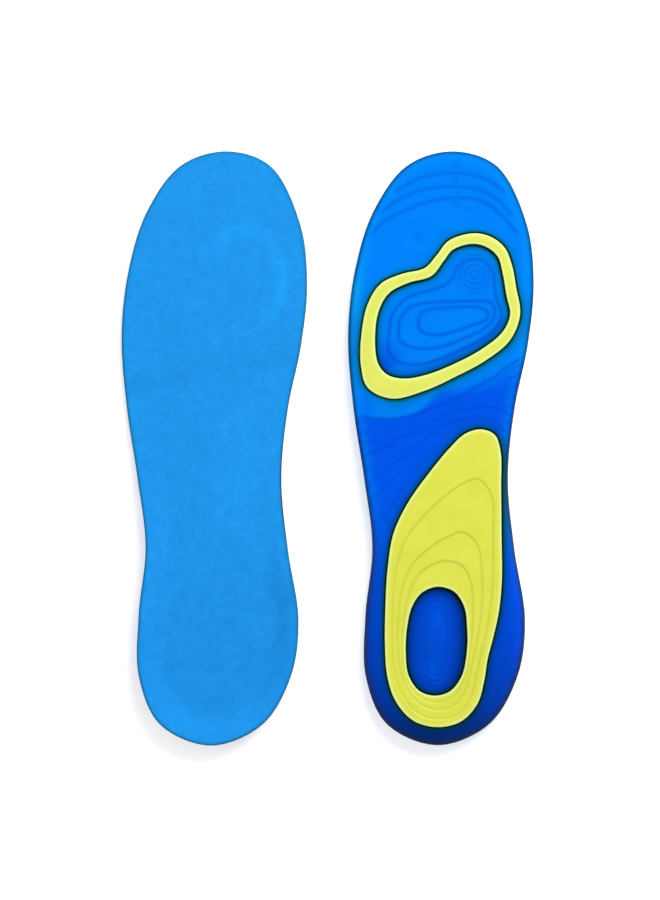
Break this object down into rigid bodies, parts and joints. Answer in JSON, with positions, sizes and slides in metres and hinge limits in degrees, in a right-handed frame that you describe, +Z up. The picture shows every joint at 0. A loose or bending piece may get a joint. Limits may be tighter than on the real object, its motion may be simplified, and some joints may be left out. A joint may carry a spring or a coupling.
{
  "type": "pair of cushioned insoles",
  "caption": "Left and right full-length shoe insoles: velour cover on soft moulded gel with a shallow heel cup, and firmer gel inserts under the ball of the foot and along the heel and arch.",
  "frame": {"origin": "centre of the pair's footprint, on the surface that the two insoles lie on", "axes": "+X from the left insole to the right one, +Y to the toes, +Z up"},
  "size_m": [0.1874, 0.2701, 0.0143],
  "materials": {
    "velour_cover": "matte brushed velour",
    "melt_film": "thin milky hot-melt film",
    "blue_gel": "smooth satin elastomer gel",
    "yellow_gel": "smooth satin elastomer gel"
  },
  "bodies": {
    "left_insole": {"left_top_cover": "velour_cover", "left_bonding_film": "melt_film", "left_gel_body": "blue_gel", "left_forefoot_ring": "yellow_gel", "left_heel_insert": "yellow_gel"},
    "right_insole": {"right_top_cover": "velour_cover", "right_bonding_film": "melt_film", "right_gel_body": "blue_gel", "right_forefoot_ring": "yellow_gel", "right_heel_insert": "yellow_gel"}
  },
  "joints": [
    {"name": "right_insole_lift", "type": "slide", "parent": "left_insole", "child": "right_insole", "axis": [0, 0, 1], "range_m": [0, 0.06]}
  ]
}
